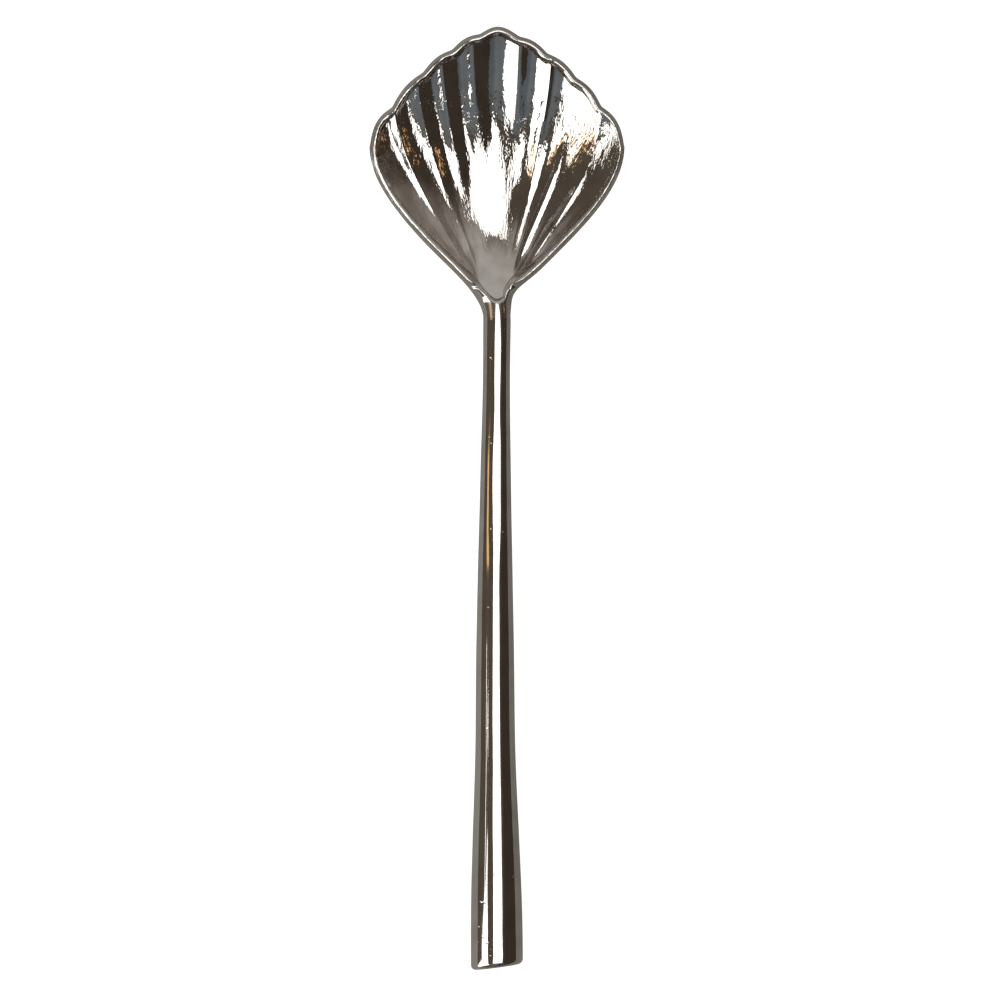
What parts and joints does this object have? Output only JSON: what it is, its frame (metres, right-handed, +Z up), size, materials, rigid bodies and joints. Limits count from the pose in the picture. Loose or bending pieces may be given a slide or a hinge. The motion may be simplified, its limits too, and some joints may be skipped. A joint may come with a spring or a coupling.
{
  "type": "shell spoon",
  "caption": "Polished metal spoon with a fluted scallop-shell bowl, a rounded lip and a long round handle that thickens towards its cut end, for sugar, jam or dessert.",
  "frame": {"origin": "middle of the small flat under the bowl, on the surface that the spoon rests on", "axes": "+Y towards the bowl's tip, +Z up out of the bowl, +X to the right as seen from above with the bowl's tip away"},
  "size_m": [0.0406, 0.1503, 0.0078],
  "materials": {
    "bowl_metal": "cast and hand polished, with fine pits",
    "handle_metal": "forged and hand polished",
    "braze_metal": "filed flush and polished"
  },
  "bodies": {
    "root": {"bowl": "bowl_metal", "handle": "handle_metal", "braze_ring": "braze_metal"}
  },
  "joints": []
}
